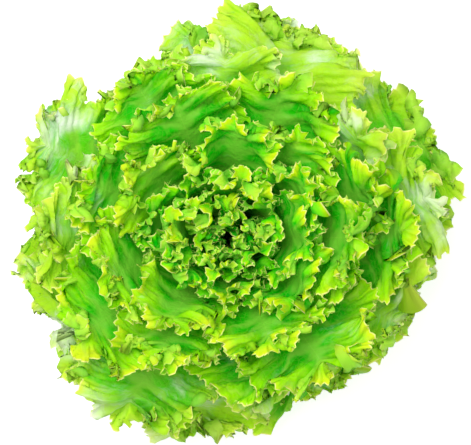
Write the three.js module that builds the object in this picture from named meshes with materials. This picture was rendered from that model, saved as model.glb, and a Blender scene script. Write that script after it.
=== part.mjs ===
// A head of batavia lettuce standing on its cut stem: one short stem and a rosette of
// separate frilled leaves. Millimetres, +Z up, origin at the centre of the cut face.

import * as THREE from "three";

// ---- Driving dimensions -------------------------------------------------------------

const LEAF_COUNT = 54;
const HEART_LEAF_COUNT = 20;
const MIDDLE_LEAF_COUNT = 17;

// Each new leaf leaves the stem one golden angle round from the one before it.
const GOLDEN_ANGLE = THREE.MathUtils.degToRad(137.508);
// Away from the stem a leaf sways up to this far to one side.
const SWAY = THREE.MathUtils.degToRad(12);

// The head is a nest of leaves. "Order" runs from 0 for the innermost leaf to 1 for the
// outermost, and each station gives the midline of a leaf of that order as a Bezier curve
// of [radius, height] points: its base on the stem, two handles and its tip. A leaf whose
// curve runs below the table lies along the table instead.
const STATIONS = [
  { base: [4.4, 51], lower: [8, 70], upper: [7, 98], tip: [6, 120] },
  { base: [9.8, 41], lower: [25, 80], upper: [42, 110], tip: [56, 134] },
  { base: [12.4, 32], lower: [44, 80], upper: [78, 108], tip: [103, 114] },
  { base: [15.0, 21], lower: [58, 62], upper: [104, 84], tip: [137, 74] },
  { base: [17.0, 9], lower: [62, 24], upper: [118, 30], tip: [152, 6] },
];
// Leaves are packed more closely in the heart than outside.
const ORDER_POWER = 1.2;

// Blade sizes of the innermost and outermost leaf.
const HALF_WIDTH = [26, 66];
const PETIOLE_HALF_WIDTH = [2.5, 9.5];
// The blade is broadest beyond the middle of the leaf: its outline is a rounded swell, skewed
// towards the tip and scaled back to the half-width.
const OUTLINE_ROUNDNESS = 0.9;
const OUTLINE_SKEW = 0.55;
const OUTLINE_PEAK = 1.08;
// A side vein leaves the midrib nearer the base than the part of the margin it runs to: by
// [share of the way at the base, further share gained towards the tip].
const VEIN_ROOT = [0.25, 0.67];
const SIZE_JITTER = 0.16;
const BLADE_THICKNESS = [0.5, 0.9];
const RIB_THICKNESS = [0.4, 2.6];
const RIB_HALF_WIDTH = [2, 6];
const RIB_END = 0.85;
// No leaf wraps further round the head than this, each side of its midrib.
const WRAP_LIMIT = THREE.MathUtils.degToRad(60);

// Waves and tilts of a leaf, in steps of the nest. One step is the space of one leaf, and
// leaves one step apart never lie over each other, so waves of about a step stay clear.
const WAVE_STEPS = [0.34, 0.9];
const ROLL_STEPS = 0.2;
const WAVES_PER_LEAF = [3, 5];
// Shares of a leaf's length between which it comes free of its neighbours.
const LOOSENING = [0.12, 0.5];

// Height of the lowest leaf surface, and how softly leaves flatten as they meet the table.
const TABLE_CLEARANCE = 1.6;
const TABLE_SOFTNESS = 5;

// The head is a little lopsided: [waves round the head, amount, phase].
const RADIUS_SWELLS = [[2, 0.03, 0.6], [3, 0.025, 2.1], [5, 0.02, 4.0]];
const HEIGHT_SWELLS = [[2, 7, 1.4], [3, 5, 0.3], [4, 4, 5.0]];
const HEAD_RADIUS = 150;
// The heart is drawn out along X, by this share at the middle and fading with the radius.
const HEART_STRETCH = 0.13;
const HEART_STRETCH_RADIUS = 80;
const HEART_STRETCH_ONSET = [0.15, 0.7];

// Folds that neighbouring leaves share, so that they nest: [waves round the head, depth over
// radius, drift from leaf to leaf, phase]. Towards this radius they stop getting deeper.
const FOLD_RADIUS = 110;
const FOLD_ONSET = [0.3, 1];
const FOLDS = [[5, 0.06, 0.15, 0.3], [8, 0.06, -0.17, 2.0], [13, 0.04, 0.2, 4.0]];

// Stem: [radius, height] up its side, from the cut face to the growing point.
const STEM_SIDE = [[15.4, 0], [16.1, 3], [15.9, 9], [13.9, 21], [11.2, 32], [8.5, 41], [3.2, 51]];
const STEM_TOP_HEIGHT = 54;
const STEM_FACETS = 28;

// Mesh steps: cells along the margin of a leaf, and where its rows lie from rib to margin.
const MARGIN_CELLS = [18, 26];
const ROW_FRACTIONS = [0.25, 0.62, 1];

const FINISHES = {
  stem: { color: 0xe4ecc0, roughness: 0.55, metalness: 0 },
  heart_leaf: { color: 0xa9cf3c, roughness: 0.45, metalness: 0 },
  middle_leaf: { color: 0x82bd2e, roughness: 0.45, metalness: 0 },
  outer_leaf: { color: 0x6cab28, roughness: 0.45, metalness: 0 },
};

// ---- Small helpers ------------------------------------------------------------------

const { lerp, clamp, smoothstep } = THREE.MathUtils;

function blend([inner, outer], order) {
  return lerp(inner, outer, order);
}

// A repeatable number from 0 to 1 for one trait of one leaf.
function trait(leafNumber, traitNumber) {
  const value = Math.sin(leafNumber * 127.1 + traitNumber * 311.7) * 43758.5453;
  return value - Math.floor(value);
}

function signedTrait(leafNumber, traitNumber) {
  return 2 * trait(leafNumber, traitNumber) - 1;
}

function sumOfSwells(swells, angle) {
  return swells.reduce((sum, [waves, amount, phase]) => sum + amount * Math.sin(waves * angle + phase), 0);
}

// ---- The nest: heading, distance along the midline and step -> a place ---------------

function orderOfStep(step) {
  return (Math.max(step + 0.5, 0.02) / LEAF_COUNT) ** ORDER_POWER;
}

// Catmull-Rom blend of one coordinate through the stations.
function stationValue(order, point, axis) {
  const place = order * (STATIONS.length - 1);
  const index = clamp(Math.floor(place), 0, STATIONS.length - 2);
  const t = place - index;
  const at = (i) => {
    if (i < 0) return 2 * STATIONS[0][point][axis] - STATIONS[1][point][axis];
    const last = STATIONS.length - 1;
    if (i > last) return 2 * STATIONS[last][point][axis] - STATIONS[last - 1][point][axis];
    return STATIONS[i][point][axis];
  };
  const [a, b, c, d] = [at(index - 1), at(index), at(index + 1), at(index + 2)];
  return b + 0.5 * t * (c - a + t * (2 * a - 5 * b + 4 * c - d + t * (3 * (b - c) + d - a)));
}

// Radius and height of a point on the midline of a leaf, and the curve's direction there.
function midline(order, along) {
  const rest = 1 - along;
  const weights = [rest ** 3, 3 * rest ** 2 * along, 3 * rest * along ** 2, along ** 3];
  const slopes = [-(rest ** 2), rest ** 2 - 2 * rest * along, 2 * rest * along - along ** 2, along ** 2];
  const names = ["base", "lower", "upper", "tip"];
  const combine = (factors, axis) =>
    names.reduce((sum, name, i) => sum + factors[i] * stationValue(order, name, axis), 0);
  const [radius, height] = [combine(weights, 0), combine(weights, 1)];
  const direction = new THREE.Vector2(combine(slopes, 0), combine(slopes, 1)).normalize();
  return { radius, height, direction };
}

function placeInNest(heading, along, step) {
  const { radius, height, direction } = midline(orderOfStep(step), along);
  const fold = FOLDS.reduce(
    (sum, [waves, depth, drift, phase]) => sum + depth * Math.sin(waves * heading + drift * step + phase),
    0,
  );
  const depth = FOLD_RADIUS * Math.tanh(radius / FOLD_RADIUS) * fold * smoothstep(along, ...FOLD_ONSET);
  const folded = radius - direction.y * depth;
  const onset = smoothstep(along, ...HEART_STRETCH_ONSET);
  const nearHeart = onset * Math.exp(-((folded / HEART_STRETCH_RADIUS) ** 2));
  const drawn = folded * (1 + HEART_STRETCH * nearHeart * Math.cos(2 * heading));
  const reach = drawn / HEAD_RADIUS;
  const r = drawn * (1 + reach * sumOfSwells(RADIUS_SWELLS, heading));
  const raised = height + direction.x * depth + reach * reach * sumOfSwells(HEIGHT_SWELLS, heading);
  const z = TABLE_CLEARANCE + TABLE_SOFTNESS * Math.log1p(Math.exp(raised / TABLE_SOFTNESS));
  return new THREE.Vector3(r * Math.cos(heading), r * Math.sin(heading), z);
}

// Direction across the leaf blade, from its underside to its upper side.
function upperSideDirection(heading, along, step) {
  const nudge = 1e-3;
  const here = placeInNest(heading, along, step);
  const onward = placeInNest(heading, along + nudge, step).sub(here);
  const aside = placeInNest(heading + nudge, along, step).sub(here);
  return onward.cross(aside).normalize();
}

// ---- One leaf ------------------------------------------------------------------------

function describeLeaf(number) {
  const order = orderOfStep(number);
  return {
    number,
    order,
    heading: number * GOLDEN_ANGLE,
    sway: SWAY * signedTrait(number, 1),
    reach: 1 + SIZE_JITTER * signedTrait(number, 2),
    halfWidth: blend(HALF_WIDTH, order) * (1 + SIZE_JITTER * signedTrait(number, 3)),
    petiole: blend(PETIOLE_HALF_WIDTH, order),
    blade: blend(BLADE_THICKNESS, order),
    rib: blend(RIB_THICKNESS, order),
    ribHalfWidth: blend(RIB_HALF_WIDTH, order),
    roll: ROLL_STEPS * signedTrait(number, 4),
    waveSteps: blend(WAVE_STEPS, order),
    waves: lerp(WAVES_PER_LEAF[0], WAVES_PER_LEAF[1], trait(number, 5)),
    wavePhase: 2 * Math.PI * trait(number, 17),
  };
}

// Outline of the flattened leaf. The turn runs from 0 at the base to PI at the tip, and the
// result is the half-width there and the share of the leaf's length.
function outline(leaf, turn) {
  const swell = Math.sin(turn) ** OUTLINE_ROUNDNESS;
  const bulge = (swell * (1 - OUTLINE_SKEW * Math.cos(turn))) / OUTLINE_PEAK;
  const width = leaf.halfWidth * bulge + leaf.petiole * Math.cos(turn / 2) ** 2;
  return [width, (1 - Math.cos(turn)) / 2];
}

// A point of the blade. "margin" runs from -1 at the left of the base, over 0 at the tip, to
// 1 at the right of the base, and "out" from 0 on the midrib to 1 at the margin.
function leafPlace(leaf, margin, out) {
  const turn = Math.PI * (1 - Math.abs(margin));
  const [width, along] = outline(leaf, turn);
  const veinRoot = along * (VEIN_ROOT[0] + VEIN_ROOT[1] * along);
  const share = lerp(veinRoot, along, out) * leaf.reach;
  const aside = Math.sign(margin) * width * out;
  const wave = Math.sin(leaf.waves * Math.PI * margin + leaf.wavePhase) * leaf.waveSteps;
  const loose = smoothstep(along, ...LOOSENING);
  const step = leaf.number + loose * (wave * out * out + leaf.roll * (aside / leaf.halfWidth));
  const { radius } = midline(orderOfStep(step), share);
  const wrap = WRAP_LIMIT * Math.tanh(aside / radius / WRAP_LIMIT);
  const heading = leaf.heading + leaf.sway * loose + wrap;
  return { heading, share, step };
}

// How far the underside lies below the middle of the blade: the midrib stands out there.
function underside(leaf, along, out) {
  const taper = 1 - smoothstep(along, 0, RIB_END);
  return out === 0 ? leaf.blade / 2 + leaf.rib * taper : leaf.blade / 2;
}

function rowFractions(leaf, width) {
  const [inner, middle, edge] = ROW_FRACTIONS;
  return [0, Math.min(inner, leaf.ribHalfWidth / Math.max(width, 1)), middle, edge];
}

function leafGeometry(leaf) {
  const columns = 2 * Math.round(blend(MARGIN_CELLS, leaf.order) / 2);
  const rows = ROW_FRACTIONS.length;
  const positions = [];
  const vertexOf = new Map();

  // Two corners of the solid at each grid point: the upper side and the underside.
  function corner(column, row, side) {
    const twin = row === 0 ? Math.min(column, columns - column) : column;
    const key = `${twin},${row},${side}`;
    if (!vertexOf.has(key)) {
      const margin = (2 * twin) / columns - 1;
      const [width, along] = outline(leaf, Math.PI * (1 - Math.abs(margin)));
      const out = rowFractions(leaf, width)[row];
      const { heading, share, step } = leafPlace(leaf, margin, out);
      const depth = side === "upper" ? leaf.blade / 2 : -underside(leaf, along, out);
      const point = placeInNest(heading, share, step);
      point.addScaledVector(upperSideDirection(heading, share, step), depth);
      vertexOf.set(key, positions.length / 3);
      positions.push(point.x, point.y, point.z);
    }
    return vertexOf.get(key);
  }

  const triangles = [];
  function addQuad(a, b, c, d) {
    triangles.push(a, c, b, a, d, c);
  }

  for (let column = 0; column < columns; column += 1) {
    for (let row = 0; row < rows; row += 1) {
      const cell = (side) => [
        corner(column, row, side),
        corner(column + 1, row, side),
        corner(column + 1, row + 1, side),
        corner(column, row + 1, side),
      ];
      const [a, b, c, d] = cell("upper");
      addQuad(a, b, c, d);
      const [e, f, g, h] = cell("under");
      addQuad(e, h, g, f);
    }
    const edge = (at, side) => corner(at, rows, side);
    addQuad(edge(column, "under"), edge(column, "upper"), edge(column + 1, "upper"), edge(column + 1, "under"));
  }
  for (let row = 0; row < rows; row += 1) {
    for (const [column, near, far] of [[0, row, row + 1], [columns, row + 1, row]]) {
      addQuad(
        corner(column, near, "under"),
        corner(column, near, "upper"),
        corner(column, far, "upper"),
        corner(column, far, "under"),
      );
    }
  }

  const geometry = new THREE.BufferGeometry();
  geometry.setAttribute("position", new THREE.Float32BufferAttribute(positions, 3));
  geometry.setIndex(triangles);
  geometry.computeVertexNormals();
  return geometry;
}

// ---- The stem ------------------------------------------------------------------------

function stemGeometry() {
  const positions = [0, 0, 0, 0, 0, STEM_TOP_HEIGHT];
  const [bottomCentre, topCentre] = [0, 1];
  for (const [radius, height] of STEM_SIDE) {
    for (let facet = 0; facet < STEM_FACETS; facet += 1) {
      const angle = (2 * Math.PI * facet) / STEM_FACETS;
      positions.push(radius * Math.cos(angle), radius * Math.sin(angle), height);
    }
  }
  const ringPoint = (ring, facet) => 2 + ring * STEM_FACETS + (facet % STEM_FACETS);
  const lastRing = STEM_SIDE.length - 1;
  const triangles = [];
  for (let facet = 0; facet < STEM_FACETS; facet += 1) {
    triangles.push(bottomCentre, ringPoint(0, facet + 1), ringPoint(0, facet));
    triangles.push(topCentre, ringPoint(lastRing, facet), ringPoint(lastRing, facet + 1));
    for (let ring = 0; ring < lastRing; ring += 1) {
      const [a, b] = [ringPoint(ring, facet), ringPoint(ring, facet + 1)];
      const [c, d] = [ringPoint(ring + 1, facet + 1), ringPoint(ring + 1, facet)];
      triangles.push(a, b, c, a, c, d);
    }
  }
  const geometry = new THREE.BufferGeometry();
  geometry.setAttribute("position", new THREE.Float32BufferAttribute(positions, 3));
  geometry.setIndex(triangles);
  geometry.computeVertexNormals();
  return geometry;
}

// ---- The head ------------------------------------------------------------------------

function namedMesh(name, geometry, finish) {
  const mesh = new THREE.Mesh(geometry, new THREE.MeshStandardMaterial(finish));
  mesh.name = name;
  return mesh;
}

function leafName(number) {
  const middleStart = HEART_LEAF_COUNT;
  const outerStart = HEART_LEAF_COUNT + MIDDLE_LEAF_COUNT;
  const [kind, start] =
    number < middleStart
      ? ["heart_leaf", 0]
      : number < outerStart
        ? ["middle_leaf", middleStart]
        : ["outer_leaf", outerStart];
  return { kind, name: `${kind}_${String(number - start + 1).padStart(2, "0")}` };
}

const head = new THREE.Group();
head.name = "batavia_lettuce";
head.add(namedMesh("stem", stemGeometry(), FINISHES.stem));
for (let number = 0; number < LEAF_COUNT; number += 1) {
  const { kind, name } = leafName(number);
  head.add(namedMesh(name, leafGeometry(describeLeaf(number)), FINISHES[kind]));
}

export default head;
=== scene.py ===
"""A head of batavia lettuce: frilled leaves and a cut stem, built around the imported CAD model."""

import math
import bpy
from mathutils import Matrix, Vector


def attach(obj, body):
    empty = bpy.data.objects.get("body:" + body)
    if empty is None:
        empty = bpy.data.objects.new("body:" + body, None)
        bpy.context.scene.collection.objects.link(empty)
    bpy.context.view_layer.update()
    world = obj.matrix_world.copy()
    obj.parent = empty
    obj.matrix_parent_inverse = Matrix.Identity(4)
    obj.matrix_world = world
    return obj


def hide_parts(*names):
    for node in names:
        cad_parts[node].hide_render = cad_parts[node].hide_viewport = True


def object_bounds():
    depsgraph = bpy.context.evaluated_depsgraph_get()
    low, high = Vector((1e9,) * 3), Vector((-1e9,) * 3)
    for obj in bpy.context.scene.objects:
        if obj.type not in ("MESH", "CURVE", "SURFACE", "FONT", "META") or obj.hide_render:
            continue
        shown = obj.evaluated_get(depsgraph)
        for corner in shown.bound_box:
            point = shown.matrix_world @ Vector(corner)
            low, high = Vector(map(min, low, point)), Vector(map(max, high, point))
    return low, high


bl_info = {
    "name": "Batavia lettuce",
    "version": (1, 0, 0),
    "blender": (4, 5, 0),
    "location": "View3D > Sidebar > Lettuce",
    "description": "Builds a head of batavia lettuce from separate frilled leaves and a stem",
    "category": "Add Mesh",
}

import bpy
import numpy as np
from bpy.props import FloatProperty, FloatVectorProperty, PointerProperty
from bpy.types import Operator, Panel, PropertyGroup
from mathutils import Vector
from mathutils.bvhtree import BVHTree

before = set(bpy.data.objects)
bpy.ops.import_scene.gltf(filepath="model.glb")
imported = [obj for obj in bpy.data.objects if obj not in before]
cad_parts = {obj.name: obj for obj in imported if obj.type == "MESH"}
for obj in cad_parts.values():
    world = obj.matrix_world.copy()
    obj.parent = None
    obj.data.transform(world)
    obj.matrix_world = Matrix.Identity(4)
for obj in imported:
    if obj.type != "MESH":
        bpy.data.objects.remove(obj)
CAD_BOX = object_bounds()

BODY = "root"
MM = 0.001

KINDS = ("heart_leaf", "middle_leaf", "outer_leaf")
LEAF_NODES = [name for kind in KINDS for name in sorted(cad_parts) if name.startswith(kind)]
LEAF_COUNT = len(LEAF_NODES)

# ---- The nest of leaves, in millimetres: the same numbers as in the CAD model ----

GOLDEN_ANGLE = math.radians(137.508)
SWAY = math.radians(12)
STATIONS = np.array([
    [[4.4, 51], [8, 70], [7, 98], [6, 120]],
    [[9.8, 41], [25, 80], [42, 110], [56, 134]],
    [[12.4, 32], [44, 80], [78, 108], [103, 114]],
    [[15.0, 21], [58, 62], [104, 84], [137, 74]],
    [[17.0, 9], [62, 24], [118, 30], [152, 6]],
])
ORDER_POWER = 1.2
HALF_WIDTH = (26, 66)
PETIOLE_HALF_WIDTH = (2.5, 9.5)
SIZE_JITTER = 0.16
RIB_THICKNESS = (0.4, 2.6)
RIB_HALF_WIDTH = (2, 6)
WRAP_LIMIT = math.radians(60)
# Shape of the outline of a flattened leaf, widest past the middle.
OUTLINE_ROUNDNESS = 0.9
OUTLINE_SKEW = 0.55
OUTLINE_PEAK = 1.08
# A vein leaves the midrib at this share, plus this much of the share where it ends.
VEIN_ROOT = (0.25, 0.67)
RIB_END = 0.85
# Shares of a leaf's length over which it comes loose from the stem, is stretched and folds.
LOOSENING = (0.12, 0.5)
HEART_STRETCH_ONSET = (0.15, 0.7)
FOLD_ONSET = (0.3, 1)
WAVE_STEPS = (0.34, 0.9)
ROLL_STEPS = 0.2
WAVES_PER_LEAF = (3, 5)
TABLE_CLEARANCE = 1.6
TABLE_SOFTNESS = 5
RADIUS_SWELLS = ((2, 0.03, 0.6), (3, 0.025, 2.1), (5, 0.02, 4.0))
HEIGHT_SWELLS = ((2, 7, 1.4), (3, 5, 0.3), (4, 4, 5.0))
HEAD_RADIUS = 150
HEART_STRETCH = 0.13
HEART_STRETCH_RADIUS = 80
FOLD_RADIUS = 110
FOLDS = ((5, 0.06, 0.15, 0.3), (8, 0.06, -0.17, 2.0), (13, 0.04, 0.2, 4.0))
# Radius and height up the side of the stem, and the height of its growing point.
STEM_SIDE = np.array([(15.4, 0), (16.1, 3), (15.9, 9), (13.9, 21), (11.2, 32), (8.5, 41), (3.2, 51)])
STEM_TOP_HEIGHT = 54


def lerp(start, end, share):
    return start + (end - start) * share


def smoothstep(value, low, high):
    share = np.clip((value - low) / (high - low), 0, 1)
    return share * share * (3 - 2 * share)


def trait(leaf_number, trait_number):
    """A repeatable number from 0 to 1 for one trait of one leaf."""
    value = math.sin(leaf_number * 127.1 + trait_number * 311.7) * 43758.5453
    return value - math.floor(value)


def signed_trait(leaf_number, trait_number):
    return 2 * trait(leaf_number, trait_number) - 1


def sum_of_swells(swells, angle):
    return sum(amount * np.sin(waves * angle + phase) for waves, amount, phase in swells)


def order_of_step(step):
    return (np.maximum(step + 0.5, 0.02) / LEAF_COUNT) ** ORDER_POWER


def midline_handles(order):
    """The four points of the midline of a leaf of that order, blended through the stations."""
    before = 2 * STATIONS[:1] - STATIONS[1:2]
    after = 2 * STATIONS[-1:] - STATIONS[-2:-1]
    points = np.concatenate([before, STATIONS, after])
    place = order * (len(STATIONS) - 1)
    index = np.clip(np.floor(place).astype(int), 0, len(STATIONS) - 2)
    t = (place - index)[..., None, None]
    a, b, c, d = (points[index + k] for k in range(4))
    return b + 0.5 * t * (c - a + t * (2 * a - 5 * b + 4 * c - d + t * (3 * (b - c) + d - a)))


def midline(handles, along):
    """Radius and height on the midline, and the direction of the curve there."""
    t = along[..., None]
    rest = 1 - t
    a, b, c, d = (handles[..., k, :] for k in range(4))
    place = rest**3 * a + 3 * rest**2 * t * b + 3 * rest * t**2 * c + t**3 * d
    slope = rest**2 * (b - a) + 2 * rest * t * (c - b) + t**2 * (d - c)
    return place, unit(slope)


def unit(vectors):
    return vectors / np.maximum(np.linalg.norm(vectors, axis=-1, keepdims=True), 1e-9)


def place_in_nest(heading, along, step):
    """The point in millimetres at a heading round the head, a share of a leaf's length and a step."""
    heading, along, step = np.broadcast_arrays(heading, along, step)
    place, direction = midline(midline_handles(order_of_step(step)), along)
    radius, height = place[..., 0], place[..., 1]
    fold = sum(
        depth * np.sin(waves * heading + drift * step + phase) for waves, depth, drift, phase in FOLDS
    )
    depth = FOLD_RADIUS * np.tanh(radius / FOLD_RADIUS) * fold * smoothstep(along, *FOLD_ONSET)
    folded = radius - direction[..., 1] * depth
    near_heart = np.exp(-((folded / HEART_STRETCH_RADIUS) ** 2))
    near_heart = near_heart * smoothstep(along, *HEART_STRETCH_ONSET)
    drawn = folded * (1 + HEART_STRETCH * near_heart * np.cos(2 * heading))
    reach = drawn / HEAD_RADIUS
    r = drawn * (1 + reach * sum_of_swells(RADIUS_SWELLS, heading))
    raised = height + direction[..., 0] * depth + reach**2 * sum_of_swells(HEIGHT_SWELLS, heading)
    z = TABLE_CLEARANCE + TABLE_SOFTNESS * np.logaddexp(0, raised / TABLE_SOFTNESS)
    return np.stack([r * np.cos(heading), r * np.sin(heading), z], -1)


# ---- One frilled leaf ----

# Rows from the midrib to the margin as shares of the way out, and how many columns apart
# the mesh points in each row are: the mesh is finest along the margin.
ROWS_OUT = np.concatenate([
    np.linspace(0, 0.5, 4, endpoint=False),
    np.linspace(0.5, 0.8, 6, endpoint=False),
    1 - 0.2 * (1 - np.linspace(0, 1, 10)) ** 1.3,
])
ROW_STRIDES = np.array([4] * 4 + [2] * 6 + [1] * 10)
# Columns along the margin, up to these orders of leaf.
COLUMNS = ((0.3, 560), (2.0, 720))
# Shares of the margin over which its frills set in, from the foot of the leaf.
FRILL_ONSET = (0.02, 0.25)
OUTLINE_SEED = 1000
FRILL_SEED = 2000
# How far from the margin lobes still move the blade, and how far the midrib holds it still.
LOBE_REACH = 9
RIB_HOLD = 6
# Sharpness and level of the lobes of a margin and of the notches between them, and of its teeth.
LOBE_FORM = (0.8, 0.5)
BAY_FORM = (0.7, 0.4)
TOOTH_FORM = (0.7, 0.35)
SMALL_TOOTH_FORM = (0.8, 0.4)
# Frills drift along the margin on their way in.
DRIFT = 0.8
DRIFT_LENGTH = 14
DRIFT_TURN = 3
# Frills keep this share of their height on the sides of a leaf.
SIDE_FRILLS = 0.6
# The midrib narrows to this share of its width.
RIB_TIP = 0.35
# Leaves lie this far apart in the noise of their material.
NOISE_STEP = 37.0
# Shares of the length over which a leaf's side turns into its tip.
TIP_ONSET = (0.45, 0.85)
# Lowest part of a blade: heights under this are pressed together above the table.
LOW_HEIGHT = 1.2
LOWEST_HEIGHT = 0.6
LOW_SOFTNESS = 4


def irregular_waves(rng, length, spacing, unevenness=0.42, weakest=0.45, strongest=1.15):
    """Phase and strength of uneven waves along a margin, as a function of the place on it."""
    count = max(3, int(round(length / spacing)))
    gaps = rng.uniform(1 - unevenness, 1 + unevenness, count + 4)
    gaps *= length / gaps[2:-2].sum()
    knots = np.concatenate([[0], np.cumsum(gaps)]) - gaps[:2].sum()
    phases = np.arange(len(knots)) * 2 * math.pi
    strengths = rng.uniform(weakest, strongest, len(knots))
    return lambda place: (np.interp(place, knots, phases), np.interp(place, knots, strengths))


def surface_frame(points):
    """Directions along the margin, out from the midrib and up from the blade at every point."""
    along_margin = unit(np.gradient(points, axis=1))
    outward = unit(np.gradient(points, axis=0))
    return along_margin, outward, unit(np.cross(outward, along_margin))


def run_along(line):
    """Length run from the start of a line to each of its points."""
    steps = np.linalg.norm(np.diff(line, axis=0), axis=1)
    return np.concatenate([[0], np.cumsum(steps)])


def outline_of_leaf(number, order, columns):
    """The flattened leaf in millimetres: margin points, the roots of their veins and arc length."""
    midpoints, _ = midline(midline_handles(np.full(40, order)), np.linspace(0, 1, 40))
    length = np.linalg.norm(np.diff(midpoints, axis=0), axis=1).sum()
    half_width = lerp(*HALF_WIDTH, order) * (1 + SIZE_JITTER * signed_trait(number, 3))
    petiole = lerp(*PETIOLE_HALF_WIDTH, order)
    turn = np.linspace(0, math.pi, 500)
    width = half_width * np.sin(turn) ** OUTLINE_ROUNDNESS
    width = width * (1 - OUTLINE_SKEW * np.cos(turn)) / OUTLINE_PEAK
    width += petiole * np.cos(turn / 2) ** 2
    share = (1 - np.cos(turn)) / 2
    steps = np.hypot(np.diff(width), np.diff(share) * length)
    run = np.concatenate([[0], np.cumsum(steps)])
    place = np.linspace(0, 2 * run[-1], columns + 1)
    half_place = np.where(place <= run[-1], place, 2 * run[-1] - place)
    side = np.where(place <= run[-1], -1.0, 1.0)
    return {
        "length": length,
        "half_width": half_width,
        "place": place,
        "from_base": half_place / run[-1],
        "to_tip": run[-1] - half_place,
        "x": np.interp(half_place, run, width) * side,
        "along": np.interp(half_place, run, share),
        "margin": side * (1 - np.interp(half_place, run, turn) / math.pi),
    }


def notches(rng, run, spacing, depth, sharpness, level):
    """Points that stand out along a margin, with rounded bays between them."""
    phase, strength = irregular_waves(rng, run[-1], spacing)(run)
    return strength * depth * (1 - np.abs(np.sin(phase / 2)) ** sharpness - level)


def blade_in_nest(number, shape, rows_out, columns):
    """The blade of a leaf before it is frilled, in rows from the midrib out to the margin."""
    rng = np.random.default_rng(OUTLINE_SEED + number)
    order = float(order_of_step(number))
    leaf = outline_of_leaf(number, order, columns)
    length, x, along = leaf["length"], leaf["x"], leaf["along"]
    vein_root = along * (VEIN_ROOT[0] + VEIN_ROOT[1] * along)
    loose_base = smoothstep(leaf["from_base"], *FRILL_ONSET)

    # Pointed lobes and the sharp notches between them, drawn in the plane of the leaf.
    lobe_spacing, lobe_depth = shape.size("lobe_spacing", order), shape.size("lobe_depth", order)
    extra = notches(rng, leaf["place"], lobe_spacing, lobe_depth, *LOBE_FORM) * loose_base
    bays = notches(rng, leaf["place"], lobe_spacing * 1.3, lobe_depth * 0.8, *BAY_FORM)
    extra = extra - bays * loose_base
    dx, dy = np.gradient(x), np.gradient(along * length)
    outward = unit(np.stack([-dy, dx], -1))
    facing = np.sign(outward[:, 0] * x + outward[:, 1] * (along - 0.5) * length)
    outward *= facing[:, None]

    out = rows_out[:, None]
    column_length = np.hypot(x, (along - vein_root) * length)
    to_margin = (1 - out) * column_length
    near_margin = np.exp(-to_margin / LOBE_REACH)
    flat_x = out * x + outward[:, 0] * extra * near_margin
    flat_y = vein_root + (along - vein_root) * out + outward[:, 1] * extra * near_margin / length

    # The blade in the nest.
    loose = smoothstep(along, *LOOSENING)
    waves = lerp(*WAVES_PER_LEAF, trait(number, 5))
    wave = np.sin(waves * math.pi * leaf["margin"] + 2 * math.pi * trait(number, 17))
    step = number + loose * (
        wave * lerp(*WAVE_STEPS, order) * out**2
        + ROLL_STEPS * signed_trait(number, 4) * flat_x / leaf["half_width"]
    )
    share = flat_y * (1 + SIZE_JITTER * signed_trait(number, 2))
    place, _ = midline(midline_handles(order_of_step(step)), share)
    wrap = WRAP_LIMIT * np.tanh(flat_x / place[..., 0] / WRAP_LIMIT)
    heading = number * GOLDEN_ANGLE + SWAY * signed_trait(number, 1) * loose + wrap
    return {
        "points": place_in_nest(heading, share, step),
        "order": order,
        "length": length,
        "flat_x": flat_x,
        "flat_y": flat_y,
        "out": out + np.zeros_like(flat_x),
        "to_margin": to_margin,
        "to_tip": leaf["to_tip"] + np.zeros_like(flat_x),
        "loose_base": loose_base,
        # The midrib stays put, and the blade moves more and more freely away from it.
        "free_of_rib": 1 - np.exp(-((out * column_length / RIB_HOLD) ** 2)),
    }


def neighbours(grid):
    """Each value of a grid together with the eight around it."""
    rows, columns = grid.shape
    padded = np.pad(grid, 1, mode="edge")
    return np.stack([padded[i : i + rows, j : j + columns] for i in range(3) for j in range(3)])


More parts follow.
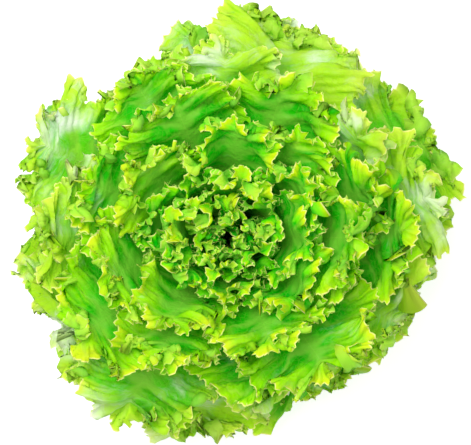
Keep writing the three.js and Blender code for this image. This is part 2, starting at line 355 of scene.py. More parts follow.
class Crowd:
    """Coarse blades of every leaf, for finding how much room there is beside each of them."""

    rows_out = np.linspace(0.1, 1, 9)
    columns = 96
    open_room = 24.0
    sky_distance = 200
    # A ray starts this far off its own blade.
    ray_start = 0.8
    # Straight up, and six ways round at a slant.
    sky = [Vector((0, 0, 1))]
    sky += [Vector((0.8 * math.cos(a), 0.8 * math.sin(a), 0.6)) for a in np.arange(6) * math.pi / 3]

    def __init__(self, shape):
        self.blades = [
            blade_in_nest(number, shape, self.rows_out, self.columns)["points"]
            for number in range(LEAF_COUNT)
        ]
        rows, columns = self.blades[0].shape[:2]
        grid = np.arange(rows * columns).reshape(rows, columns)
        corners = [grid[:-1, :-1], grid[1:, :-1], grid[1:, 1:], grid[:-1, 1:]]
        quads = np.stack(corners, -1).reshape(-1, 4)
        self.quads_per_leaf = len(quads)
        points = np.concatenate([blade.reshape(-1, 3) for blade in self.blades])
        faces = np.concatenate([quads + number * grid.size for number in range(LEAF_COUNT)])
        self.tree = BVHTree.FromPolygons(points.tolist(), faces.tolist())

    def distance(self, number, origin, direction):
        """How far it is from a point of a leaf to the next other leaf in that direction."""
        skip = 0.3
        travelled = skip
        while travelled < self.open_room:
            start = origin + direction * travelled
            _, _, face, step = self.tree.ray_cast(start, direction, self.open_room - travelled)
            if face is None:
                return self.open_room
            travelled += step
            if face // self.quads_per_leaf != number:
                return travelled
            travelled += skip
        return self.open_room

    def room(self, number, side, rows_out, columns):
        """Room on the upper side (1) or the underside (-1) of a leaf, for each of its points."""
        blade = self.blades[number]
        directions = surface_frame(blade)[2] * side
        room = np.array([
            [self.distance(number, Vector(origin), Vector(way)) for origin, way in zip(*lines)]
            for lines in zip(blade.tolist(), directions.tolist())
        ])
        return self.smoothed(neighbours(room).min(0), rows_out, columns)

    def sky_shade(self, number, rows_out, columns):
        """Share of the sky that other leaves hide from each point of a leaf."""
        # The tint of the leaves uses this share as painted shade.
        points = [[Vector(point) for point in line] for line in self.blades[number].tolist()]

        def hidden_ways(point):
            rays = ((point + self.ray_start * way, way) for way in self.sky)
            return sum(self.tree.ray_cast(*ray, self.sky_distance)[2] is not None for ray in rays)

        hidden = [[hidden_ways(point) for point in line] for line in points]
        return self.smoothed(np.array(hidden) / len(self.sky), rows_out, columns)

    def smoothed(self, grid, rows_out, columns):
        """Values on the coarse blade, smoothed and carried over to the fine one."""
        for _ in range(3):
            grid = neighbours(grid).mean(0)
        place = np.linspace(0, self.columns, columns + 1)
        wide = [np.interp(place, np.arange(self.columns + 1), line) for line in grid]
        return np.stack([np.interp(rows_out, self.rows_out, line) for line in np.transpose(wide)], -1)


def leaf_surface(number, shape, crowd):
    """Points of a leaf's blade in millimetres, rows by columns, and values for its material."""
    rng = np.random.default_rng(FRILL_SEED + number)
    columns = next(count for limit, count in COLUMNS if order_of_step(number) < limit)
    blade = blade_in_nest(number, shape, ROWS_OUT, columns)
    order, points, flat_x, flat_y = (blade[name] for name in ("order", "points", "flat_x", "flat_y"))
    to_margin, loose_base = blade["to_margin"], blade["loose_base"]
    least_room = lerp(shape.least_room_inner, shape.least_room_outer, order) / MM
    room_above, room_below = (
        np.maximum(shape.room_share * crowd.room(number, side, ROWS_OUT, columns), least_room)
        for side in (1, -1)
    )

    # Frills: long folds first, then shorter ruffles that lie on them, closer to the margin.
    # Together they keep to the room between this leaf and its neighbours. The sides of a leaf
    # tuck in under the next ones, and its tip is free.
    lifted = np.zeros_like(flat_x)
    tipness = smoothstep(flat_y, *TIP_ONSET)
    for level, frill in enumerate(shape.frills(order)):
        margin_direction, outward_blade, across = surface_frame(points)
        edge_run = run_along(points[-1])
        phase, strength = irregular_waves(rng, edge_run[-1], frill["spacing"])(edge_run)
        twist = DRIFT_TURN * trait(number, 8 + level)
        drift = np.sin(to_margin * (level + 1) / DRIFT_LENGTH + twist) - math.sin(twist)
        phase = phase + DRIFT * drift
        fade = np.exp(-((to_margin / frill["reach"]) ** frill["flare"]))
        height = frill["depth"] * strength * fade * loose_base
        height = height * blade["free_of_rib"] * lerp(SIDE_FRILLS, 1, tipness)
        crest = np.arcsin(frill["crease"] * np.sin(phase)) / math.asin(frill["crease"])
        wanted = lifted + height * (crest + lerp(frill["side_lift"], 0, tipness))
        room = np.where(wanted > 0, room_above, room_below)
        shift = room * np.tanh(wanted / room) - lifted
        lifted = lifted + shift
        points = (
            points
            + across * shift[..., None]
            + outward_blade * (height * frill["point"] * np.maximum(crest, 0) ** 2)[..., None]
            - margin_direction * (height * frill["overhang"] * np.sin(2 * phase))[..., None]
        )

    # Pointed teeth with rounded bays between them, along the frilled margin.
    _, outward_direction, _ = surface_frame(points)
    edge_run = run_along(points[-1])
    tooth_spacing, tooth_depth = shape.size("tooth_spacing", order), shape.size("tooth_depth", order)
    teeth = notches(rng, edge_run, tooth_spacing, tooth_depth, *TOOTH_FORM)
    teeth += notches(rng, edge_run, tooth_spacing * 0.45, tooth_depth * 0.3, *SMALL_TOOTH_FORM)
    teeth = teeth * loose_base * np.exp(-to_margin / (1.3 * tooth_depth))
    points = points + outward_direction * teeth[..., None]

    # The midrib stands out under the blade.
    taper = 1 - smoothstep(flat_y, 0, RIB_END)
    rib_width = lerp(*RIB_HALF_WIDTH, order) * lerp(RIB_TIP, 1, taper)
    rib = lerp(*RIB_THICKNESS, order) * taper * np.exp(-((flat_x / rib_width) ** 2))
    points = points - surface_frame(points)[2] * rib[..., None]
    height = points[..., 2]
    pressed = np.exp((height - LOW_HEIGHT) / LOW_SOFTNESS)
    pressed = lerp(LOWEST_HEIGHT, LOW_HEIGHT, pressed)
    points[..., 2] = np.where(height < LOW_HEIGHT, pressed, height)

    none = np.zeros_like(flat_x)
    fold_depth = shape.size("fold_depth", order)
    row_steps = np.linalg.norm(np.diff(points, axis=0), axis=-1)
    from_margin = np.concatenate([np.cumsum(row_steps[::-1], axis=0)[::-1], none[:1]])
    values = {
        "leaf_flat": np.stack([flat_x, flat_y * blade["length"], none + NOISE_STEP * number], -1),
        "leaf_run": np.stack([blade["to_tip"], from_margin, blade["out"]], -1),
        "leaf_tone": none + trait(number, 21),
        # How far a place lies below the crests of the folds, and how much of its sky is hidden: the
        # tint turns both deeper green as painted shade.
        "leaf_fold_shade": fold_depth * np.clip(-lifted / fold_depth, 0, 1),
        "leaf_sky_shade": crowd.sky_shade(number, ROWS_OUT, columns),
    }
    return points, values


def leaf_mesh(name, points, values):
    """A mesh of the blade, with fewer columns in the rows near the midrib."""
    rows, columns = points.shape[:2]
    last = columns - 1
    grid = np.arange(rows * columns).reshape(rows, columns)
    quads, triangles = [], []
    for row in range(rows - 1):
        wide, fine = ROW_STRIDES[row], ROW_STRIDES[row + 1]
        a, b = grid[row, 0:last:wide], grid[row, wide::wide]
        d, c = grid[row + 1, 0:last:wide], grid[row + 1, wide::wide]
        if wide == fine:
            quads.append(np.stack([a, d, c, b], -1))
        else:
            halfway = grid[row + 1, fine:last:wide]
            for corners in ((a, d, halfway), (a, halfway, b), (b, halfway, c)):
                triangles.append(np.stack(corners, -1))
    quads, triangles = np.concatenate(quads), np.concatenate(triangles)
    corners = np.concatenate([quads.ravel(), triangles.ravel()])

    # The two halves of the blade share the points of the midrib.
    welded = grid.copy()
    welded[0] = np.minimum(grid[0], grid[0, ::-1])
    vertex = welded.ravel()[corners]
    used, loops = np.unique(vertex, return_inverse=True)

    mesh = bpy.data.meshes.new(name)
    mesh.vertices.add(len(used))
    mesh.vertices.foreach_set("co", (points.reshape(-1, 3)[used] * MM).astype(np.float32).ravel())
    mesh.loops.add(len(loops))
    mesh.loops.foreach_set("vertex_index", loops.astype(np.int32))
    starts = np.concatenate([np.arange(len(quads)) * 4, quads.size + np.arange(len(triangles)) * 3])
    mesh.polygons.add(len(starts))
    mesh.polygons.foreach_set("loop_start", starts.astype(np.int32))
    mesh.update()
    mesh.polygons.foreach_set("use_smooth", np.ones(len(starts), bool))
    flat_map = mesh.uv_layers.new(name="OFBake")
    u = (corners % columns) / last
    v = (corners // columns) / (rows - 1)
    inset = 0.004
    uv = inset + (1 - 2 * inset) * np.stack([u, v], -1)
    flat_map.data.foreach_set("uv", uv.astype(np.float32).ravel())
    for label, value in values.items():
        plain = value.ndim == 2
        made = mesh.attributes.new(label, "FLOAT" if plain else "FLOAT_VECTOR", "POINT")
        chosen = value.reshape(-1, 1 if plain else 3)[used].astype(np.float32)
        made.data.foreach_set("value" if plain else "vector", chosen.ravel())
    return mesh


# ---- The stem ----

STEM_ROUND = 96
# The rim of the cut is rounded by this much, over this height.
RIM_DEPTH = 0.7
RIM_HEIGHT = 0.5
# The side has shallow ridges that fade out upwards.
RIDGES = 5
RIDGE_HEIGHT = 0.25
RIDGE_TWIST = 9
RIDGE_FADE = 40
# Half width of the swelling under a leaf, round the stem and up it, and how far under.
SCAR_TURN = 0.4
SCAR_HALF_HEIGHT = 1.6
SCAR_BELOW = 3
STEM_HEIGHTS = np.concatenate([np.linspace(0, 1.2, 4), np.linspace(2, 50, 34), [51, 52.5, 53.5]])


def stem_mesh(name, scar_height):
    """The stem: a flat cut face, a softened rim, a swelling below every leaf and a rounded top."""
    angle = np.linspace(0, 2 * math.pi, STEM_ROUND, endpoint=False)
    height = STEM_HEIGHTS[:, None]
    radius = np.interp(height, STEM_SIDE[:, 1], STEM_SIDE[:, 0])
    radius = radius * np.clip((STEM_TOP_HEIGHT - height) / 4, 0, 1) ** 0.4
    ridges = RIDGE_HEIGHT * np.sin(RIDGES * angle + height / RIDGE_TWIST)
    ridges = ridges * np.exp(-height / RIDGE_FADE)
    radius = radius - RIM_DEPTH * np.exp(-height / RIM_HEIGHT) + ridges
    for number in range(LEAF_COUNT):
        base = midline_handles(order_of_step(np.array(float(number))))[0]
        turn = np.angle(np.exp(1j * (angle - number * GOLDEN_ANGLE)))
        up = (height - base[1] + SCAR_BELOW) / SCAR_HALF_HEIGHT
        radius = radius + scar_height * np.exp(-((turn / SCAR_TURN) ** 2) - up**2)
    rings = np.stack([radius * np.cos(angle), radius * np.sin(angle), height + 0 * angle], -1)
    points = np.concatenate([rings.reshape(-1, 3), [[0, 0, 0], [0, 0, STEM_TOP_HEIGHT]]]) * MM
    bottom, top = len(points) - 2, len(points) - 1
    count = len(STEM_HEIGHTS)
    ring = np.arange(count * STEM_ROUND).reshape(count, STEM_ROUND)
    onward = np.roll(ring, -1, axis=1)
    sides = np.stack([ring[:-1], onward[:-1], onward[1:], ring[1:]], -1).reshape(-1, 4).tolist()
    ends = [(bottom, b, a) for a, b in zip(ring[0], onward[0])]
    ends += [(top, a, b) for a, b in zip(ring[-1], onward[-1])]
    mesh = bpy.data.meshes.new(name)
    mesh.from_pydata(points.tolist(), [], sides + [tuple(int(i) for i in end) for end in ends])
    smooth = [True] * len(sides) + [False] * STEM_ROUND + [True] * STEM_ROUND
    mesh.polygons.foreach_set("use_smooth", smooth)
    mesh.update()
    return mesh


# ---- Shader helpers ----


def connect(tree, socket, value):
    """Links a socket to another one, or gives it a plain value."""
    if isinstance(value, bpy.types.NodeSocket):
        tree.links.new(value, socket)
    else:
        socket.default_value = value


def node(tree, kind, inputs=None, **settings):
    """A new node with its settings, and with links or plain values on its inputs."""
    made = tree.nodes.new(kind)
    for key, value in settings.items():
        setattr(made, key, value)
    for key, value in (inputs or {}).items():
        connect(tree, made.inputs[key], value)
    return made


def calculate(tree, operation, *values):
    return node(tree, "ShaderNodeMath", dict(enumerate(values)), operation=operation).outputs[0]


def multiply(tree, first, second):
    return calculate(tree, "MULTIPLY", first, second)


def ramp_between(tree, value, low, high, start=0.0, end=1.0):
    inputs = {"Value": value, "From Min": low, "From Max": high, "To Min": start, "To Max": end}
    made = node(tree, "ShaderNodeMapRange", inputs, interpolation_type="SMOOTHSTEP")
    return made.outputs["Result"]


def mix_colours(tree, share, first, second):
    inputs = {0: share, 6: first, 7: second}
    return node(tree, "ShaderNodeMix", inputs, data_type="RGBA").outputs[2]


def noise(tree, vector, scale, detail=2.0, roughness=0.5):
    """Noise, with one scale or with its own scale along each axis."""
    if isinstance(scale, tuple):
        vector, scale = stretch(tree, vector, scale), 1.0
    inputs = {"Vector": vector, "Scale": scale, "Detail": detail, "Roughness": roughness}
    return node(tree, "ShaderNodeTexNoise", inputs).outputs["Fac"]


def stretch(tree, vector, factors):
    inputs = {0: vector, 1: factors}
    return node(tree, "ShaderNodeVectorMath", inputs, operation="MULTIPLY").outputs[0]


def attribute(tree, name, output="Fac"):
    return node(tree, "ShaderNodeAttribute", attribute_name=name).outputs[output]


def split(tree, vector):
    return node(tree, "ShaderNodeSeparateXYZ", {0: vector}).outputs


NUMBER, COLOUR = "NodeSocketFloat", "NodeSocketColor"
LEAF_BUMP = 0.6
# Roughness of a leaf on its veins and between them.
LEAF_ROUGHNESS = (0.32, 0.56)
LEAF_TRANSLUCENCY = 0.25


def shader_group(name, inputs, outputs):
    """A node group with named sockets, given by their kind, and the sockets inside it."""
    group = bpy.data.node_groups.new(name, "ShaderNodeTree")
    for side, sockets in (("INPUT", inputs), ("OUTPUT", outputs)):
        for kind, labels in sockets.items():
            for label in labels:
                group.interface.new_socket(label, in_out=side, socket_type=kind)
    return group, node(group, "NodeGroupInput").outputs, node(group, "NodeGroupOutput").inputs


def use_group(tree, group, values):
    """Puts a group in a tree, sets each of its sockets by name, and gives its outputs."""
    made = node(tree, "ShaderNodeGroup", node_tree=group)
    for socket in made.inputs:
        connect(tree, socket, values[socket.name])
    return made.outputs


def colour(value):
    return (*value[:3], 1.0)


def vein_group():
    """Midrib, side veins, fine streaks and the puckered relief between them."""
    name = "Leaf veins"
    if name in bpy.data.node_groups:
        return bpy.data.node_groups[name]
    group, given, result = shader_group(
        name, {NUMBER: ("Vein Spacing", "Rib Width")}, {NUMBER: ("Rib", "Veins", "Streaks", "Relief")}
    )
    flat = attribute(group, "leaf_flat", "Vector")
    flat_parts = split(group, flat)
    run = attribute(group, "leaf_run", "Vector")
    to_tip, to_margin, out = split(group, run)

    # Midrib: widest at the base, gone before the tip.
    aside = calculate(group, "ABSOLUTE", flat_parts[0])
    taper = ramp_between(group, to_tip, 40.0, 170.0, 0.1, 1.0)
    rib_width = multiply(group, given["Rib Width"], taper)
    rib = calculate(group, "DIVIDE", aside, rib_width)
    rib = multiply(group, ramp_between(group, rib, 0.2, 1.4, 1.0, 0.0), taper)

    # Side veins run out from the midrib to the margin.
    wobble = noise(group, flat, (0.05, 0.05, 1.0), 3.0)
    shifted = calculate(group, "MULTIPLY_ADD", wobble, 26.0, to_tip)
    spacing = given["Vein Spacing"]

    def vein_lines(scale, width):
        step = multiply(group, spacing, scale)
        phase = calculate(group, "DIVIDE", shifted, step)
        distance = calculate(group, "PINGPONG", phase, 0.5)
        distance = multiply(group, multiply(group, distance, step), out)
        return ramp_between(group, distance, 0.1, width, 1.0, 0.0)

    main = vein_lines(1.0, 1.3)
    fine = multiply(group, vein_lines(0.34, 0.8), 0.5)
    fine = multiply(group, fine, ramp_between(group, out, 0.3, 0.6))
    cells = {"Vector": flat, "Scale": 0.24}
    net = node(group, "ShaderNodeTexVoronoi", cells, feature="DISTANCE_TO_EDGE").outputs["Distance"]
    net = multiply(group, ramp_between(group, net, 0.02, 0.12, 1.0, 0.0), 0.35)
    veins = calculate(group, "MAXIMUM", calculate(group, "MAXIMUM", main, fine), net)
    veins = multiply(group, veins, ramp_between(group, to_margin, 0.5, 8.0))

    # Streaks are noise drawn out along the side veins.
    along_veins = node(group, "ShaderNodeCombineXYZ", {0: shifted, 1: to_margin, 2: flat_parts[2]})
    streaks = noise(group, along_veins.outputs[0], (0.35, 0.045, 1.0), 4.0, 0.6)

    pucker = noise(group, flat, (0.16, 0.16, 1.0))
    soft_streaks = multiply(group, streaks, 0.5)
    relief = calculate(group, "ADD", pucker, soft_streaks)
    relief = calculate(group, "MULTIPLY_ADD", veins, -0.35, relief)
    for socket, value in zip(result, (rib, veins, streaks, relief)):
        connect(group, socket, value)
    return group


def tint_group():
    """Colour of the blade from the bright line on its margin, partly a painted edge highlight, to the
    deep green inside, with painted shade in fold hollows and under other leaves.
    """
    name = "Leaf tint"
    if name in bpy.data.node_groups:
        return bpy.data.node_groups[name]
    bands = ("Line Width", "Margin Width", "Blade Width", "Shade Width", "Variation")
    inputs = {
        COLOUR: ("Edge Line And Highlight", "Margin", "Blade", "Deep", "Rib Colour"),
        NUMBER: (*bands, "Rib", "Veins", "Streaks"),
    }
    group, given, result = shader_group(name, inputs, {COLOUR: ("Color",)})
    flat = attribute(group, "leaf_flat", "Vector")
    run = attribute(group, "leaf_run", "Vector")
    to_margin = split(group, run)[1]
    mottle = noise(group, flat, (0.045, 0.045, 1.0), 3.0)
    tone = attribute(group, "leaf_tone")

    # Patches and whole leaves are yellower or greener, by moving the bands in and out.
    patch_shift = calculate(group, "MULTIPLY_ADD", mottle, 2.0, -1.0)
    leaf_shift = calculate(group, "MULTIPLY_ADD", tone, 1.4, -0.7)
    shift = calculate(group, "ADD", patch_shift, leaf_shift)
    streak_shift = calculate(group, "SUBTRACT", given["Streaks"], 0.5)
    shift = calculate(group, "MULTIPLY_ADD", streak_shift, 0.6, shift)
    shift = multiply(group, shift, given["Variation"])
    factor = calculate(group, "POWER", 4.0, shift)
    # Painted shade: places below the fold crests and places whose sky is hidden are pushed towards
    # the deep green.
    sky_shade = attribute(group, "leaf_sky_shade")
    fold_shade = attribute(group, "leaf_fold_shade")
    distance = calculate(group, "MULTIPLY_ADD", to_margin, factor, fold_shade)
    distance = calculate(group, "MULTIPLY_ADD", sky_shade, given["Shade Width"], distance)

    inner = ramp_between(group, distance, given["Margin Width"], given["Blade Width"])
    body = mix_colours(group, inner, given["Blade"], given["Deep"])
    rim = ramp_between(group, distance, given["Line Width"], given["Margin Width"], 1.0, 0.0)
    body = mix_colours(group, rim, body, given["Margin"])
    vein_share = multiply(group, given["Veins"], 0.35)
    body = mix_colours(group, vein_share, body, given["Rib Colour"])
    body = mix_colours(group, given["Rib"], body, given["Rib Colour"])
    # A thin pale line on the margin: paler margin tissue together with a painted edge highlight.
    half_width = multiply(group, given["Line Width"], 0.4)
    line = ramp_between(group, to_margin, half_width, given["Line Width"], 1.0, 0.0)
    connect(group, result["Color"], mix_colours(group, line, body, given["Edge Line And Highlight"]))
    return group


def bloom_and_sheen_group():
    """Where the pale waxy bloom and painted sheen lie: soft patches on the open parts of a blade,
    partly real bloom and partly a painted highlight.
    """
    name = "Waxy bloom and painted sheen"
    if name in bpy.data.node_groups:
        return bpy.data.node_groups[name]
    inputs = {NUMBER: ("Patch Size", "Coverage", "Streaks")}
    group, given, result = shader_group(name, inputs, {NUMBER: ("Mask",)})
    flat = attribute(group, "leaf_flat", "Vector")
    scale = calculate(group, "DIVIDE", 1.0, given["Patch Size"])
    patches = noise(group, flat, scale, 3.0, 0.55)
    streaked = calculate(group, "MULTIPLY_ADD", given["Streaks"], 0.35, patches)
    half_coverage = multiply(group, given["Coverage"], 0.5)
    low = calculate(group, "SUBTRACT", 0.9, half_coverage)
    high = calculate(group, "ADD", low, 0.3)
    connect(group, result["Mask"], ramp_between(group, streaked, low, high))
    return group


def fresh_material(name):
    material = bpy.data.materials.new(name)
    material.use_nodes = True
    material.node_tree.nodes.clear()
    return material, material.node_tree


def leaf_material(kind, colours, look):
    """Material of one kind of leaf: its own colours in the shared vein, tint (with painted shade and
    edge highlight), and bloom and painted sheen groups.
    """
    material, tree = fresh_material(kind)
    veins = use_group(tree, vein_group(), look)
    look = look | {label: veins[label] for label in ("Rib", "Veins", "Streaks")}
    tint = use_group(tree, tint_group(), look)["Color"]
    bloom = use_group(tree, bloom_and_sheen_group(), look)["Mask"]
    bloom = multiply(tree, bloom, look["Bloom And Sheen Strength"])
    # Pale patches: partly waxy bloom, partly painted sheen that stands in for highlights.
    upper = mix_colours(tree, bloom, tint, colour(colours.bloom))
    under = mix_colours(tree, 0.5, tint, colour(colours.underside))
    backfacing = node(tree, "ShaderNodeNewGeometry").outputs["Backfacing"]
    surface = mix_colours(tree, backfacing, upper, under)

    relief = veins["Relief"]
    pucker = {"Strength": LEAF_BUMP, "Distance": 0.002, "Height": relief}
    bump = node(tree, "ShaderNodeBump", pucker).outputs[0]
    blade = node(
        tree,
        "ShaderNodeBsdfPrincipled",
        {
            "Base Color": surface,
            "Roughness": ramp_between(tree, relief, 0.4, 1.6, *LEAF_ROUGHNESS),
            "Normal": bump,
            "Specular IOR Level": look["Gloss"],
        },
    ).outputs[0]
    glow = node(tree, "ShaderNodeBsdfTranslucent", {"Color": surface, "Normal": bump}).outputs[0]
    both = node(tree, "ShaderNodeMixShader", {0: LEAF_TRANSLUCENCY, 1: blade, 2: glow})
    node(tree, "ShaderNodeOutputMaterial", {"Surface": both.outputs[0]})
    return material


def stem_material(settings):
    """Material of the stem: fibres up its side, and pith, rings and a browned rim on its cut."""
    material, tree = fresh_material("stem")
    place = stretch(tree, node(tree, "ShaderNodeTexCoord").outputs["Object"], (1 / MM,) * 3)
    x, y, z = split(tree, place)
    squares = calculate(tree, "MULTIPLY_ADD", x, x, multiply(tree, y, y))
    mottle = noise(tree, place, 0.22, 3.0)
    fibres = noise(tree, place, (0.8, 0.8, 0.1), 4.0, 0.6)
    from_axis = calculate(tree, "MULTIPLY_ADD", mottle, 3.0, calculate(tree, "SQRT", squares))

    flesh, skin, pith = (colour(value) for value in (settings.flesh, settings.skin, settings.pith))
    side = mix_colours(tree, ramp_between(tree, z, 6.0, 40.0), flesh, skin)
    side = mix_colours(tree, ramp_between(tree, fibres, 0.35, 0.75, 0.0, 0.5), side, skin)
    rings = calculate(tree, "PINGPONG", from_axis, 1.1)
    rings = ramp_between(tree, rings, 0.2, 1.0, 0.0, 0.25)
    cut = mix_colours(tree, rings, flesh, skin)
    in_pith = ramp_between(tree, from_axis, 7.0, 9.5, 0.45, 0.0)
    cut = mix_colours(tree, in_pith, cut, pith)
    brown = ramp_between(tree, from_axis, 14.0, 17.5, 0.05, 0.85)
    cut = mix_colours(tree, brown, cut, colour(settings.cut_rim))
    on_cut = ramp_between(tree, z, 0.1, 1.4, 1.0, 0.0)
    surface = mix_colours(tree, on_cut, side, cut)
    bump = node(tree, "ShaderNodeBump", {"Strength": 0.5, "Distance": 0.001, "Height": fibres})
    shader = node(
        tree,
        "ShaderNodeBsdfPrincipled",
        {
            "Base Color": surface,
            "Roughness": ramp_between(tree, mottle, 0.3, 0.7, 0.38, 0.6),
            "Normal": bump.outputs[0],
            "Specular IOR Level": 0.3,
        },
    )
    node(tree, "ShaderNodeOutputMaterial", {"Surface": shader.outputs[0]})
    return material


# ---- Settings ----


def length_setting(name, description, default, min=0.0, soft_max=0.1):
    return FloatProperty(
        name=name,
        description=description,
        default=default,
        min=min,
        soft_max=soft_max,
        subtype="DISTANCE",
        unit="LENGTH",
    )


def colour_setting(name, description, default):
    return FloatVectorProperty(
        name=name, description=description, default=default, size=3, min=0.0, max=1.0, subtype="COLOR"
    )


# Each size of a frill: what it is, and its length in metres on the innermost and outermost leaf.
FRILL_SIZES = {
    "lobe_spacing": ("Distance between lobes of", 0.022, 0.046),
    "lobe_depth": ("Depth of the lobes of", 0.005, 0.017),
    "tooth_spacing": ("Distance between teeth of", 0.0055, 0.0085),
    "tooth_depth": ("Depth of the teeth of", 0.0028, 0.0030),
    "sweep_spacing": ("Distance between sweeps of", 0.036, 0.062),
    "sweep_depth": ("Height of the sweeps of", 0.001, 0.015),
    "fold_spacing": ("Distance between folds of", 0.018, 0.032),
    "fold_depth": ("Height of the folds of", 0.0110, 0.0150),
    "fold_reach": ("How far folds reach into", 0.014, 0.030),
    "pleat_depth": ("Height of the fine pleats of", 0.0006, 0.0022),
    "ruffle_depth": ("Height of the ruffles of", 0.0032, 0.0046),
    "least_room": ("Room always left for the frills of", 0.0050, 0.0015),
}
# Over 1, the sizes change more slowly among the inner leaves.
SIZE_POWER = 1.1


class LeafShapeSettings(PropertyGroup):
    """Sizes of the frills, each for the innermost and for the outermost leaf."""

    __annotations__ = {
        f"{key}_{end}": length_setting(
            f"{key.replace('_', ' ').capitalize()}, {end}", f"{what} the {end}most leaf", size
        )
        for key, (what, *sizes) in FRILL_SIZES.items()
        for end, size in zip(("inner", "outer"), sizes)
    } | {
        "room_share": FloatProperty(
            name="Share of the room",
            description="How much of the way to the next leaf frills may fill",
            default=0.58,
            min=0.0,
            max=1.0,
            subtype="FACTOR",
        )
    }

    def size(self, name, order):
        """A setting for a leaf of that order, in millimetres."""
        share = min(order, 1.0) ** SIZE_POWER
        return lerp(getattr(self, name + "_inner"), getattr(self, name + "_outer"), share) / MM

    def frills(self, order):
        """Sweeps, folds, pleats and ruffles, each lying on the ones before it."""
        names = ("sweep", "fold", "pleat", "ruffle")
        sweep, fold, reach = (
            self.size(name, order) for name in ("sweep_spacing", "fold_spacing", "fold_reach")
        )
        share = min(order, 1.0)
        rolled = share**0.6
        columns = {
            "spacing": (sweep, fold, lerp(7.0, 11.0, share), fold * 0.4),
            "depth": [self.size(name + "_depth", order) for name in names],
            "reach": (sweep * 0.7, reach, 70.0, reach * 0.45),
            "flare": (1.2, 1.0, 1.0, 1.0),
            "crease": (0.8, 0.8, 0.9, 0.8),
            "point": (0.2, lerp(0.1, 0.25, share), 0.0, 0.25),
            "overhang": (0.05, lerp(0.24, 0.02, rolled), 0.0, lerp(0.2, 0.05, rolled)),
            "side_lift": (-0.5, -0.6, 0.0, 0.0),
        }
        return [dict(zip(columns, values)) for values in zip(*columns.values())]


# Colours of the parts of each kind of leaf, and what the parts are.
LEAF_COLOURS = {
    "heart": ((0.80, 0.97, 0.008), (0.18, 0.88, 0.002), (0.002, 0.58, 0.001)),
    "middle": ((0.80, 0.97, 0.020), (0.40, 0.92, 0.003), (0.020, 0.58, 0.002)),
    "outer": ((0.78, 0.96, 0.08), (0.56, 0.94, 0.02), (0.12, 0.68, 0.006)),
}
LEAF_PARTS = {"margin": "Band inside the edge line", "blade": "Blades", "deep": "Shaded inner parts"}


class LeafColourSettings(PropertyGroup):
    """Colours of the leaves."""

    __annotations__ = {
        # The edge line is partly a painted edge highlight, and the bloom is partly painted sheen.
        "edge_line": colour_setting("Edge line and highlight", "Thin line along every margin", (1.0, 1.0, 0.30)),
        "rib": colour_setting("Ribs", "Midribs and side veins", (0.60, 0.86, 0.12)),
        "bloom": colour_setting("Waxy bloom and painted sheen", "Pale bloom and painted sheen on open blades", (0.94, 0.99, 0.88)),
        "underside": colour_setting("Underside", "Tint of the undersides", (0.46, 0.88, 0.10)),
    } | {
        f"{kind}_{part}": colour_setting(f"{kind.title()} {part}", f"{what} of {kind} leaves", value)
        for kind, values in LEAF_COLOURS.items()
        for (part, what), value in zip(LEAF_PARTS.items(), values)
    }

    def of(self, kind):
        """Colours for the tint of one kind of leaf, by the names of its sockets."""
        prefix = kind.split("_")[0]
        own = {part.title(): colour(getattr(self, f"{prefix}_{part}")) for part in LEAF_PARTS}
        return own | {"Edge Line And Highlight": colour(self.edge_line), "Rib Colour": colour(self.rib)}


class StemSettings(PropertyGroup):
    """Colours of the stem, and the swellings under its leaves."""

    scar_height: length_setting("Swellings", "Height of the swelling under each leaf", 0.0007)
    flesh: colour_setting("Flesh", "Pale flesh of the stem", (0.74, 0.80, 0.48))
    skin: colour_setting("Skin", "Greener skin up the side of the stem", (0.52, 0.70, 0.20))
    pith: colour_setting("Pith", "Pale middle of the cut face", (0.90, 0.93, 0.78))
    cut_rim: colour_setting("Cut rim", "Browned rim of the cut face", (0.42, 0.24, 0.08))


class StageSettings(PropertyGroup):
    """Floor, lamp and camera."""

    floor: colour_setting("Floor", "Colour of the floor", (0.9, 0.9, 0.9))
    lamp_power: FloatProperty(
        name="Lamp power", description="Power of the soft lamp", default=8.5, min=0.0, unit="POWER"
    )
    daylight: FloatProperty(
        name="Daylight", description="Strength of the even light all round", default=0.76, min=0.0
    )
    camera_aside: length_setting(
        "Camera aside", "How far the camera stands to the right of the head", -0.0045, min=-1.0
    )
    camera_height: length_setting(
        "Camera height", "Height of the camera over the table", 1.25, min=0.3, soft_max=5.0
    )


# ---- Operators ----

# Look of the heart, middle and outer leaves; widths and sizes are in millimetres.
LOOKS = {
    "Vein Spacing": (9.0, 13.0, 16.0),
    "Rib Width": (1.6, 3.0, 5.0),
    "Line Width": (1.3, 1.4, 1.4),
    "Margin Width": (12.0, 13.0, 16.0),
    "Blade Width": (20.0, 38.0, 60.0),
    "Shade Width": (24.0, 24.0, 14.0),
    "Variation": (0.7, 0.5, 0.8),
    "Patch Size": (22.0, 30.0, 36.0),
    "Coverage": (0.14, 0.2, 0.5),
    "Bloom And Sheen Strength": (0.7, 0.75, 0.95),
    "Gloss": (0.04, 0.07, 0.15),
}

# The stage, in metres, the share of the width seen that the CAD model takes, and the share of its
# height at which it is widest.
FLOOR_SIZE = 4.0
FLOOR_CORNERS = ((-1, -1), (1, -1), (1, 1), (-1, 1))
LAMP_SIZE = 0.6
LAMP_PLACE = (-0.32, 0.34, 1.16)
SENSOR_WIDTH = 36
HEAD_SHARE = 0.937
WIDEST_HEIGHT = 0.55


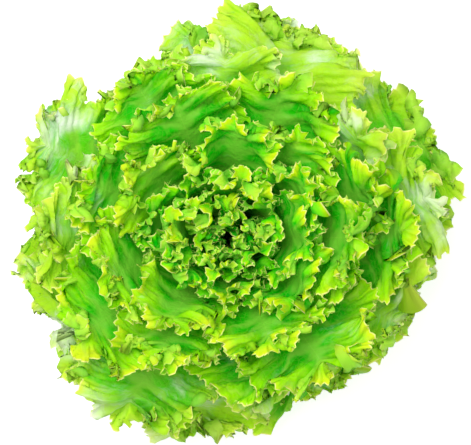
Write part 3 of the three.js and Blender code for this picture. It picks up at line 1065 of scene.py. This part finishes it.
class LeafOperator:
    """Builds every leaf of one kind, each in the place of its CAD node."""

    bl_options = {"REGISTER", "UNDO"}

    def execute(self, context):
        scene = context.scene
        colours = scene.lettuce_leaf_colours
        look = {name: values[KINDS.index(self.kind)] for name, values in LOOKS.items()}
        material = leaf_material(self.kind, colours, look | colours.of(self.kind))
        crowd = Crowd(scene.lettuce_leaf_shape)
        for number, cad_name in enumerate(LEAF_NODES):
            if not cad_name.startswith(self.kind):
                continue
            points, values = leaf_surface(number, scene.lettuce_leaf_shape, crowd)
            name = cad_name + "_frilled"
            blade = bpy.data.objects.new(name, leaf_mesh(name, points, values))
            scene.collection.objects.link(blade)
            blade.data.materials.append(material)
            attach(blade, BODY)
            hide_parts(cad_name)
        return {"FINISHED"}


class LETTUCE_OT_heart_leaves(LeafOperator, Operator):
    """Build the small, tightly frilled leaves of the heart"""

    bl_idname = "lettuce.heart_leaves"
    bl_label = "Heart leaves"
    kind = "heart_leaf"


class LETTUCE_OT_middle_leaves(LeafOperator, Operator):
    """Build the broad leaves round the heart"""

    bl_idname = "lettuce.middle_leaves"
    bl_label = "Middle leaves"
    kind = "middle_leaf"


class LETTUCE_OT_outer_leaves(LeafOperator, Operator):
    """Build the large outermost leaves"""

    bl_idname = "lettuce.outer_leaves"
    bl_label = "Outer leaves"
    kind = "outer_leaf"


class LETTUCE_OT_stem(Operator):
    """Build the cut stem"""

    bl_idname = "lettuce.stem"
    bl_label = "Stem"
    bl_options = {"REGISTER", "UNDO"}

    def execute(self, context):
        settings = context.scene.lettuce_stem
        name = "stem_with_scars"
        stem = bpy.data.objects.new(name, stem_mesh(name, settings.scar_height / MM))
        context.scene.collection.objects.link(stem)
        stem.data.materials.append(stem_material(settings))
        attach(stem, BODY)
        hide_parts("stem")
        return {"FINISHED"}


class LETTUCE_OT_stage(Operator):
    """Build the floor, the soft light and the camera over the head"""

    bl_idname = "lettuce.stage"
    bl_label = "Stage"
    bl_options = {"REGISTER", "UNDO"}

    def execute(self, context):
        scene = context.scene
        settings = scene.lettuce_stage
        low, high = (Vector(corner) for corner in CAD_BOX)
        centre = (low + high) / 2

        mesh = bpy.data.meshes.new("floor")
        corners = [(x * FLOOR_SIZE / 2, y * FLOOR_SIZE / 2, 0) for x, y in FLOOR_CORNERS]
        mesh.from_pydata(corners, [], [(0, 1, 2, 3)])
        floor = bpy.data.objects.new("floor", mesh)
        scene.collection.objects.link(floor)
        material, tree = fresh_material("floor")
        brighten = multiply(tree, seen_directly(tree), 0.5)
        surface = node(
            tree,
            "ShaderNodeBsdfPrincipled",
            {
                "Base Color": colour(settings.floor),
                "Roughness": 0.8,
                "Emission Color": (1, 1, 1, 1),
                "Emission Strength": brighten,
            },
        )
        node(tree, "ShaderNodeOutputMaterial", {"Surface": surface.outputs[0]})
        mesh.materials.append(material)

        world = bpy.data.worlds.new("daylight")
        scene.world = world
        world.use_nodes = True
        tree = world.node_tree
        daylight = settings.daylight
        strength = calculate(tree, "MULTIPLY_ADD", seen_directly(tree), 1 - daylight, daylight)
        background = tree.nodes["Background"]
        background.inputs["Color"].default_value = (1, 1, 1, 1)
        tree.links.new(strength, background.inputs["Strength"])

        lamp_data = bpy.data.lights.new("soft lamp", "AREA")
        lamp_data.size = LAMP_SIZE
        lamp_data.energy = settings.lamp_power
        lamp = bpy.data.objects.new("soft_lamp", lamp_data)
        lamp.location = LAMP_PLACE
        lamp.rotation_euler = (centre - lamp.location).to_track_quat("-Z", "Y").to_euler()
        scene.collection.objects.link(lamp)

        camera_data = bpy.data.cameras.new("camera")
        camera_data.sensor_width = SENSOR_WIDTH
        seen_width = (high.x - low.x) / HEAD_SHARE
        distance = settings.camera_height - WIDEST_HEIGHT * high.z
        camera_data.lens = SENSOR_WIDTH * distance / seen_width
        camera = bpy.data.objects.new("camera", camera_data)
        camera.location = (centre.x + settings.camera_aside, centre.y, settings.camera_height)
        scene.collection.objects.link(camera)
        scene.camera = camera
        scene.view_settings.view_transform = "Standard"
        return {"FINISHED"}


def seen_directly(tree):
    """1 for rays from the camera, a mirror or glass, and 0 for the light on the object."""
    rays = node(tree, "ShaderNodeLightPath").outputs
    either = calculate(tree, "MAXIMUM", rays["Is Camera Ray"], rays["Is Glossy Ray"])
    return calculate(tree, "MAXIMUM", either, rays["Is Transmission Ray"])


class LETTUCE_PT_panel(Panel):
    """Lists the steps that build the head, and their settings"""

    bl_idname = "LETTUCE_PT_panel"
    bl_label = "Batavia lettuce"
    bl_space_type = "VIEW_3D"
    bl_region_type = "UI"
    bl_category = "Lettuce"

    def draw(self, context):
        for operator in OPERATORS:
            self.layout.operator(operator.bl_idname)
        for name in SETTINGS:
            box = self.layout.box()
            settings = getattr(context.scene, name)
            for key in settings.__annotations__:
                box.prop(settings, key)


SETTINGS = {
    "lettuce_leaf_shape": LeafShapeSettings,
    "lettuce_leaf_colours": LeafColourSettings,
    "lettuce_stem": StemSettings,
    "lettuce_stage": StageSettings,
}
OPERATORS = (
    LETTUCE_OT_heart_leaves,
    LETTUCE_OT_middle_leaves,
    LETTUCE_OT_outer_leaves,
    LETTUCE_OT_stem,
    LETTUCE_OT_stage,
)


def register():
    for made in (*SETTINGS.values(), *OPERATORS, LETTUCE_PT_panel):
        bpy.utils.register_class(made)
    for name, group in SETTINGS.items():
        setattr(bpy.types.Scene, name, PointerProperty(type=group))


def unregister():
    for name in SETTINGS:
        delattr(bpy.types.Scene, name)
    for made in reversed((*SETTINGS.values(), *OPERATORS, LETTUCE_PT_panel)):
        bpy.utils.unregister_class(made)


def main():
    register()
    bpy.ops.lettuce.heart_leaves()
    bpy.ops.lettuce.middle_leaves()
    bpy.ops.lettuce.outer_leaves()
    bpy.ops.lettuce.stem()
    bpy.ops.lettuce.stage()
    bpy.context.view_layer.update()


if __name__ == "__main__":
    main()
